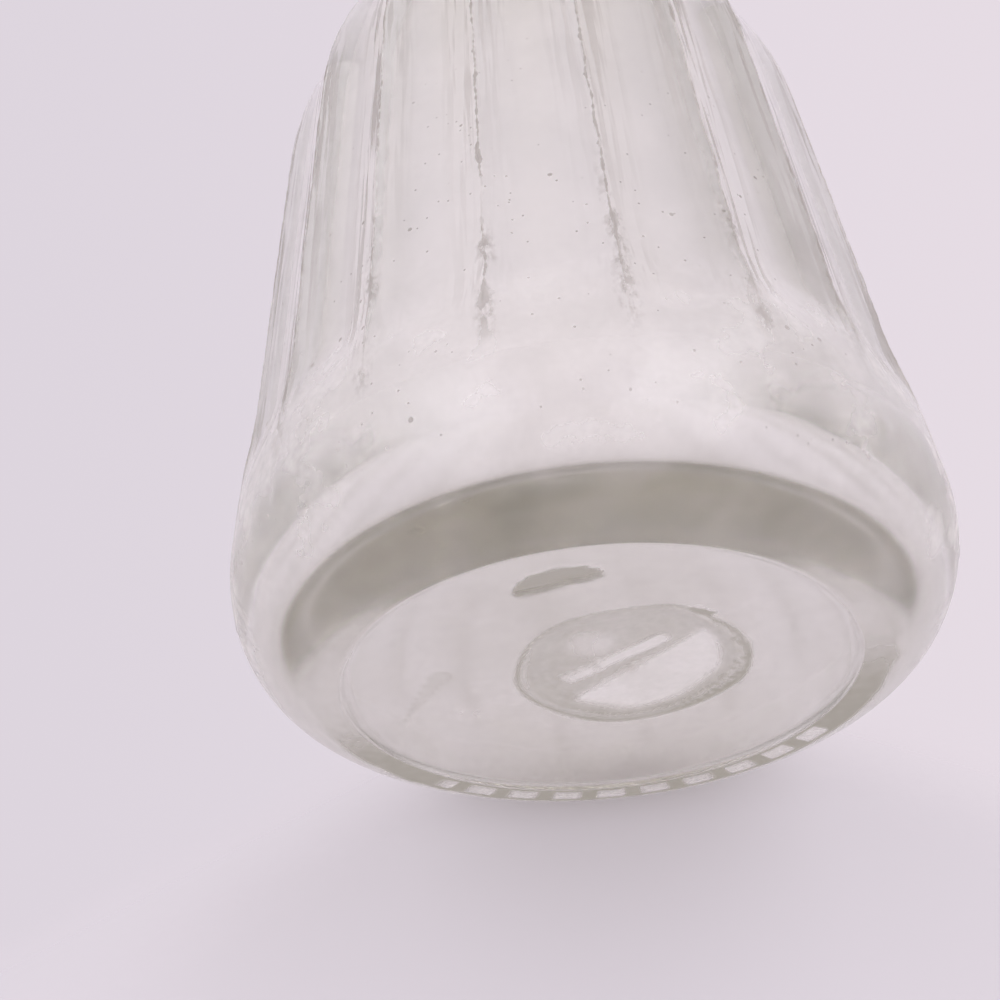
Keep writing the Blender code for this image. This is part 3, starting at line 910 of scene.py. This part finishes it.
def dots_field(tree, place, spacing, radius, kept):
    """Round dots about a spacing apart, of which only a share is kept."""
    made = node(tree, "TexVoronoi", {"Scale": 1 / spacing})
    tree.links.new(place, made.inputs["Vector"])
    pick = node(tree, "SeparateColor")
    tree.links.new(made.outputs["Color"], pick.inputs[0])
    edge = ((1 + DOT_SOFTNESS) * radius / spacing, (1 - DOT_SOFTNESS) * radius / spacing)
    dot = ramp(tree, made.outputs["Distance"], *edge)
    return product(tree, dot, maths(tree, "LESS_THAN", pick.outputs[0], kept))


def attribute(tree, name):
    made = node(tree, "Attribute", attribute_type="GEOMETRY", attribute_name=name)
    return made.outputs["Fac"]


def arris_dirt_and_shade(tree, place, height, facing):
    """Thin broken dark lines along the arrises, smudges near the heel and painted shade streaking the
    flanks.
    """
    off = attribute(tree, "from_arris")
    grain = maths(tree, "SUBTRACT", noise_field(tree, place, *DIRT_GRAIN), 0.5)
    gaps = noise_field(tree, place, *DIRT_GAPS)

    knots = ramp(tree, noise_field(tree, place, *KNOT_NOISE), *KNOT_STEP)
    across = maths(tree, "ADD", off, product(tree, grain, LINE_RAGGED))
    line = ramp(tree, maths(tree, "SUBTRACT", across, knots), *LINE_REACH)
    line = product(tree, line, ramp(tree, gaps, *LINE_GAPS_STEP))
    line = product(tree, line, ramp(tree, height, *LINE_FOOT), ramp(tree, height, *LINE_TOP))

    across = maths(tree, "ADD", off, product(tree, grain, SMUDGE_RAGGED))
    low = product(tree, ramp(tree, height, *SMUDGE_FOOT), ramp(tree, height, *SMUDGE_TOP))
    smudge = product(tree, ramp(tree, across, *SMUDGE_REACH), low, ramp(tree, gaps, *SMUDGE_GAPS_STEP))
    specks = ramp(tree, noise_field(tree, place, *SMUDGE_NOISE), *SMUDGE_STEP)
    smudge = product(tree, smudge, specks, SMUDGE_SHARE)

    # Streaks of painted shade, strongest on the flanks seen edge on
    streaks = ramp(tree, noise_field(tree, place, *STREAK_NOISE), *STREAK_STEP)
    streaks = product(tree, streaks, ramp(tree, off, *STREAK_REACH), ramp(tree, facing, *STREAK_SHADE_FACING))
    streaks = product(tree, streaks, ramp(tree, height, *STREAK_FOOT), ramp(tree, height, *STREAK_TOP))
    return maths(tree, "MAXIMUM", maths(tree, "MAXIMUM", line, smudge), streaks)


def heel_spots(tree, place, height, outside):
    """Spots and smaller pits on the outside, most of them on the heel and the lower side."""
    spots = product(tree, outside, dots_field(tree, place, *SPOTS))
    pits = product(tree, outside, dots_field(tree, place, *PITS))
    spots = maths(tree, "MAXIMUM", spots, product(tree, pits, PIT_SHARE))
    return product(tree, spots, ramp(tree, height, *SPOTS_FOOT), ramp(tree, height, *SPOTS_TOP))


def heel_bloom_and_sheen(tree, place, height, facing, outside):
    """Patchy haze on the heel, thicker where it is seen edge on, which is painted sheen."""
    bloom = ramp(tree, noise_field(tree, place, *BLOOM_NOISE), *BLOOM_STEP)
    # Thicker where seen edge on: painted sheen
    bloom = product(tree, bloom, ramp(tree, facing, *SHEEN_FACING))
    fade = ramp(tree, height, HAZE_TOP, HEEL_HEIGHT)
    return product(tree, outside, bloom, fade, ramp(tree, height, *BLOOM_FOOT))


def film_shader(tree, share, dull_and_shade, painted_light, grime_and_shade):
    """The share of the film on the glass and its shader, with painted light and shade and grime in its
    colour.
    """
    colour = FILM_COLOUR
    layers = (
        (dull_and_shade, PAINTED_SHADE_SHARE, PAINTED_SHADE_COLOUR),
        (painted_light, PAINTED_LIGHT_SHARE, PAINTED_LIGHT_COLOUR),
        (grime_and_shade, DIRT_AND_SHADE_SHARE, DIRT_AND_SHADE_COLOUR),
    )
    for amount, most, layer_colour in layers:
        added = product(tree, amount, most)
        share = maths(tree, "ADD", share, added)
        colour = blend_colours(tree, maths(tree, "DIVIDE", added, share), colour, layer_colour)
    film = node(tree, "BsdfDiffuse")
    tree.links.new(colour, film.inputs["Color"])
    return share, film.outputs[0]


def glass_material():
    """Clear glass, rubbed, dusty and painted with light and shade outside, clouded inside, with a faint
    green-grey tint.
    """
    material = bpy.data.materials.new("Clear glass")
    material.use_nodes = True
    tree = material.node_tree
    place = node(tree, "TexCoord").outputs["Object"]
    height = axes_of(tree, place)[2]
    facing = facing_away(tree)
    outside = maths(tree, "SUBTRACT", 1.0, attribute(tree, "within"))
    dirt_and_shade = product(tree, outside, arris_dirt_and_shade(tree, place, height, facing))
    grime_and_shade = maths(tree, "MAXIMUM", dirt_and_shade, heel_spots(tree, place, height, outside))
    mark = attribute(tree, "mark")
    # Above 0 the mark is painted shade and roughens the glass; below 0 it is painted light
    dull_and_shade = ramp(tree, mark, 0.0, 1.0)
    painted_light = ramp(tree, mark, *PAINTED_LIGHT_SPAN)

    shader = tree.nodes["Principled BSDF"]
    shader.inputs["Base Color"].default_value = (1.0, 1.0, 1.0, 1.0)
    shader.inputs["Transmission Weight"].default_value = 1.0
    shader.inputs["IOR"].default_value = GLASS_IOR
    rubbed = product(tree, outside, ramp(tree, height, RUBBED_TOP, HEEL_HEIGHT), RUBBED_ROUGHNESS)
    cloud = product(tree, attribute(tree, "within"), ramp(tree, height, *CLOUD_SPAN))
    rough = maths(tree, "MULTIPLY_ADD", cloud, INSIDE_CLOUDING, maths(tree, "ADD", rubbed, GLASS_ROUGHNESS))
    tree.links.new(maths(tree, "MULTIPLY_ADD", dull_and_shade, DULL_ROUGHNESS, rough), shader.inputs["Roughness"])

    bloom = heel_bloom_and_sheen(tree, place, height, facing, outside)
    haze = maths(tree, "MULTIPLY_ADD", bloom, HEEL_HAZE, HAZE)
    mottle = ramp(tree, noise_field(tree, place, *MOTTLE_NOISE), *MOTTLE_STEP)
    share, film = film_shader(tree, product(tree, mottle, haze), dull_and_shade, painted_light, grime_and_shade)
    surface = blend_shaders(tree, share, shader.outputs[0], film)

    shade = blend_colours(tree, ramp(tree, height, *SHADE_SPAN), HEEL_SHADE, WALL_SHADE)
    through = node(tree, "BsdfTransparent")
    tree.links.new(shade, through.inputs["Color"])
    path = node(tree, "LightPath")
    soft = maths(tree, "MAXIMUM", path.outputs["Is Shadow Ray"], path.outputs["Is Diffuse Ray"])
    output = tree.nodes["Material Output"]
    tree.links.new(blend_shaders(tree, soft, surface, through.outputs[0]), output.inputs["Surface"])
    tint = node(tree, "VolumeAbsorption", {"Color": GLASS_TINT, "Density": TINT_DENSITY})
    tree.links.new(tint.outputs[0], output.inputs["Volume"])
    return material


def make_glass():
    glass = link(bpy.data.objects.new("milk_bottle_glass", glass_mesh()))
    glass.data.materials.append(glass_material())
    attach(glass, "bottle")
    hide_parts("glass_bottle")


def bumped(tree, shader, height, strength, distance):
    """Gives a shader the bump of a height field."""
    bump = node(tree, "Bump", {"Strength": strength, "Distance": distance})
    tree.links.new(height, bump.inputs["Height"])
    tree.links.new(bump.outputs[0], shader.inputs["Normal"])


def dry_material(name):
    """A new material, its node tree, its shader and the place on the object."""
    material = bpy.data.materials.new(name)
    material.use_nodes = True
    tree = material.node_tree
    return material, tree, tree.nodes["Principled BSDF"], node(tree, "TexCoord").outputs["Object"]


def board_material():
    """Waxed paperboard: fibres and specks under wax, three plies at the edge, rubbed at the rim."""
    material, tree, shader, place = dry_material("Waxed board")
    x, y, z = axes_of(tree, place)
    flat = node(tree, "CombineXYZ")
    tree.links.new(x, flat.inputs["X"])
    tree.links.new(y, flat.inputs["Y"])
    radius = length_of(tree, flat.outputs[0])
    fibres = noise_field(tree, place, *BOARD_FIBRES)
    clouds = noise_field(tree, place, *BOARD_CLOUDS)
    colour = blend_colours(tree, ramp(tree, clouds, *CLOUD_STEP), BOARD_COLOUR, BOARD_WAXED)
    colour = blend_colours(tree, ramp(tree, fibres, *BOARD_FIBRE_STEP), colour, FIBRE_COLOUR)
    specks = product(tree, dots_field(tree, place, *BOARD_SPECKS), BOARD_SPECK_SHARE)
    colour = blend_colours(tree, specks, colour, SPECK_COLOUR)
    edge = CAP_RADIUS - BOARD_EDGE_DEPTH
    rim = ramp(tree, radius, CAP_RADIUS - BOARD_RUB_WIDTH, edge, 0.0, BOARD_RUB_SHARE)
    rubbed = product(tree, rim, ramp(tree, clouds, *BOARD_RUB_STEP))
    colour = blend_colours(tree, rubbed, colour, RIM_COLOUR)
    ply = product(tree, maths(tree, "SUBTRACT", z, CAP_BOTTOM), math.tau / PLY_THICKNESS)
    plies = product(tree, ramp(tree, maths(tree, "COSINE", ply), *PLY_STEP), SIDE_SHADE)
    side = ramp(tree, radius, CAP_RADIUS - BOARD_SIDE_DEPTH, edge)
    colour = blend_colours(tree, product(tree, plies, side), colour, SPECK_COLOUR)
    tree.links.new(colour, shader.inputs["Base Color"])
    tree.links.new(ramp(tree, clouds, *CLOUD_STEP, *BOARD_ROUGHNESS), shader.inputs["Roughness"])
    shader.inputs["Coat Weight"].default_value = WAX_COAT
    shader.inputs["Coat Roughness"].default_value = WAX_ROUGHNESS
    bumped(tree, shader, fibres, *BOARD_BUMP)
    return material


def paper_material():
    """Uncoated tab paper: long fibres across the tab, soft dents and a darker line along the crease."""
    material, tree, shader, place = dry_material("Tab paper")
    fibres = noise_field(tree, place, *PAPER_FIBRES)
    strands = grain_field(tree, place, STRAND_SIZES)
    clouds = noise_field(tree, place, *PAPER_CLOUDS)
    colour = blend_colours(tree, ramp(tree, clouds, *CLOUD_STEP), PAPER_COLOUR, PAPER_WORN)
    colour = blend_colours(tree, ramp(tree, strands, *STRAND_STEP), colour, FIBRE_COLOUR)
    colour = blend_colours(tree, ramp(tree, fibres, *PAPER_FIBRE_STEP), colour, SPECK_COLOUR)
    from_crease = maths(tree, "ABSOLUTE", maths(tree, "ADD", axes_of(tree, place)[1], CREASE_OFFSET))
    colour = blend_colours(tree, ramp(tree, from_crease, *CREASE_STEP), colour, SPECK_COLOUR)
    tree.links.new(colour, shader.inputs["Base Color"])
    tree.links.new(ramp(tree, clouds, *CLOUD_STEP, *PAPER_ROUGHNESS), shader.inputs["Roughness"])
    bumped(tree, shader, maths(tree, "ADD", fibres, strands), *PAPER_BUMP)
    return material


def wire_material():
    """Drawn steel wire with fine lines along it, dulled in patches."""
    material, tree, shader, place = dry_material("Staple wire")
    drawn = grain_field(tree, place, DRAWN_LINE_SIZES)
    patches = noise_field(tree, place, *WIRE_PATCHES)
    colour = blend_colours(tree, ramp(tree, patches, *WIRE_PATCH_STEP), WIRE_COLOUR, WIRE_DULL)
    tree.links.new(colour, shader.inputs["Base Color"])
    tree.links.new(ramp(tree, patches, *WIRE_ROUGHNESS_STEP), shader.inputs["Roughness"])
    shader.inputs["Metallic"].default_value = 1.0
    bumped(tree, shader, drawn, *WIRE_BUMP)
    return material


def finish_cap():
    """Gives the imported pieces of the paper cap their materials."""
    paper = paper_material()
    finishes = {
        "cap_disc": board_material(),
        "tab_foot": paper,
        "tab_tongue": paper,
        "tab_staple": wire_material(),
    }
    for name, material in finishes.items():
        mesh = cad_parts[name].data
        mesh.materials.clear()
        mesh.materials.append(material)


def make_camera():
    data = bpy.data.cameras.new("Camera")
    data.lens = CAMERA_LENS
    data.sensor_width = SENSOR_WIDTH
    camera = link(bpy.data.objects.new("Camera", data))
    camera.location = CAMERA_PLACE
    look = Vector(CAMERA_AIM) - Vector(CAMERA_PLACE)
    camera.rotation_mode = "QUATERNION"
    camera.rotation_quaternion = look.to_track_quat("-Z", "Y") @ Quaternion((0, 0, 1), CAMERA_ROLL)
    data.clip_start = CLIP_START
    data.clip_end = CLIP_END
    bpy.context.scene.camera = camera


def towards(tree, way, inner, outer):
    """1 in directions within the inner angle of a way, 0 past the outer one. They are in degrees."""
    place = node(tree, "TexCoord")
    along = node(tree, "VectorMath", operation="DOT_PRODUCT")
    along.inputs[1].default_value = Vector(way).normalized()
    tree.links.new(place.outputs["Generated"], along.inputs[0])
    return ramp(tree, along.outputs["Value"], *(math.cos(math.radians(a)) for a in (outer, inner)))


def make_world():
    """A plain background for the camera, even light for matt places, and a studio for the glass.

    The studio's two windows show in mirrored rays only, so they don't glare through the glass.
    """
    world = bpy.data.worlds.new("Studio")
    bpy.context.scene.world = world
    world.use_nodes = True
    tree = world.node_tree
    path = node(tree, "LightPath")
    x, y, z = axes_of(tree, node(tree, "TexCoord").outputs["Generated"])
    studio = blend_colours(tree, towards(tree, CAMERA_SIDE, *CAMERA_SIDE_ANGLES), STUDIO, STUDIO_DARK)
    studio = blend_colours(tree, towards(tree, RIGHT_SIDE, *RIGHT_SIDE_ANGLES), studio, STUDIO_DIM)
    across = maths(tree, "DIVIDE", maths(tree, "ABSOLUTE", x), WINDOW_WIDTH)
    across = maths(tree, "SUBTRACT", across, WINDOW_SIDE / WINDOW_WIDTH)
    along = maths(tree, "DIVIDE", z, WINDOW_LENGTH)
    along = maths(tree, "SUBTRACT", along, WINDOW_SHIFT / WINDOW_LENGTH)
    squares = (product(tree, across, across), product(tree, along, along))
    window = ramp(tree, maths(tree, "ADD", *squares), *WINDOW_EDGE, 1.0, 0.0)
    window = product(tree, window, ramp(tree, y, *WINDOW_SPAN))
    mirrored = maths(tree, "SUBTRACT", 1.0, path.outputs["Is Transmission Ray"])
    window = product(tree, window, path.outputs["Is Glossy Ray"], mirrored)
    studio = blend_colours(tree, window, studio, WINDOW)
    ambient = blend_colours(tree, ramp(tree, z, *AMBIENT_SPAN), AMBIENT_BELOW, AMBIENT_ABOVE)
    level = blend_colours(tree, path.outputs["Is Diffuse Ray"], studio, ambient)
    view = blend_colours(tree, ramp(tree, x, *BACKGROUND_SPAN), BACKGROUND, BACKGROUND_RIGHT)
    level = blend_colours(tree, path.outputs["Is Camera Ray"], level, view)
    tree.links.new(level, tree.nodes["Background"].inputs["Color"])


def pale_material(name, colour, measure, span):
    """Matt, seen from the front only, and fading out for the camera over a span of its measure.

    The measure is the distance from the middle, or the height, which counts as more to the sides.
    """
    material = bpy.data.materials.new(name)
    material.use_nodes = True
    tree = material.node_tree
    tree.nodes.remove(tree.nodes["Principled BSDF"])
    diffuse = node(tree, "BsdfDiffuse", {"Color": (*colour, 1.0)})
    clear = node(tree, "BsdfTransparent")
    place = node(tree, "NewGeometry")
    if measure == "height":
        axes = axes_of(tree, place.outputs["Position"])
        aside = product(tree, maths(tree, "ABSOLUTE", axes[0]), STAGE_SLOPE)
        far = maths(tree, "ADD", axes[2], aside)
    else:
        far = length_of(tree, place.outputs["Position"])
    path = node(tree, "LightPath")
    faded = product(tree, ramp(tree, far, *span), path.outputs["Is Camera Ray"])
    share = maths(tree, "MAXIMUM", faded, place.outputs["Backfacing"])
    surface = blend_shaders(tree, share, diffuse.outputs[0], clear.outputs[0])
    tree.links.new(surface, tree.nodes["Material Output"].inputs["Surface"])
    return material


def make_plane(name, place, turn, material):
    """A square of the stage. It takes shadows, but throws none and lights no matt place."""
    bpy.ops.mesh.primitive_plane_add(size=STAGE_SIZE, location=place, rotation=turn)
    plane = bpy.context.object
    plane.name = name
    plane.data.materials.append(material)
    plane.visible_diffuse = False
    plane.visible_shadow = False
    return plane


def make_stage():
    """The tabletop that the lying bottle touches, and the floor that the standing one is seen on."""
    upright = (math.radians(90), 0.0, 0.0)
    paint = pale_material("Tabletop", TABLE_COLOUR, "height", TABLE_FADE)
    make_plane("tabletop", (0.0, BODY_RADIUS + STAGE_GAP, 0.0), upright, paint)
    paint = pale_material("Floor", FLOOR_COLOUR, "distance", FLOOR_FADE)
    floor = make_plane("floor", (0.0, 0.0, -STAGE_GAP), (0.0, 0.0, 0.0), paint)
    floor.visible_glossy = False


def make_lamp(name, place, aim, width, length, strength):
    """An area light hidden from reflections and from the glass, as bright at any size."""
    data = bpy.data.lights.new(name, "AREA")
    data.shape = "RECTANGLE"
    data.size = width
    data.size_y = length
    data.energy = strength * math.pi * width * length
    lamp = link(bpy.data.objects.new(name, data))
    lamp.location = place
    lamp.rotation_mode = "QUATERNION"
    lamp.rotation_quaternion = (Vector(aim) - Vector(place)).to_track_quat("-Z", "Y")
    lamp.visible_glossy = False
    lamp.visible_transmission = False


def make_lamps():
    """Two softboxes over the tabletop, and one behind it for the floor and the mouth."""
    for side, strength in zip((-1, 1), PANEL_STRENGTHS):
        place = (side * PANEL_SIDE, -PANEL_HEIGHT, PANEL_SHIFT)
        aim = (side * PANEL_SIDE, 0.0, PANEL_SHIFT)
        make_lamp("Softbox", place, aim, PANEL_WIDTH, PANEL_LENGTH, strength)
    make_lamp("Sky softbox", SKY_PLACE, SKY_AIM, SKY_SIZE, SKY_SIZE, SKY_STRENGTH)


def allow_bounces():
    """Lets light turn often enough in the thick base, which leads it round to the dark band."""
    cycles = bpy.context.scene.cycles
    cycles.max_bounces = BOUNCES
    cycles.transmission_bounces = BOUNCES
    cycles.glossy_bounces = BOUNCES
    cycles.transparent_max_bounces = BOUNCES


bpy.context.scene.view_settings.view_transform = "Standard"
make_glass()
finish_cap()
make_camera()
make_world()
make_stage()
make_lamps()
allow_bounces()
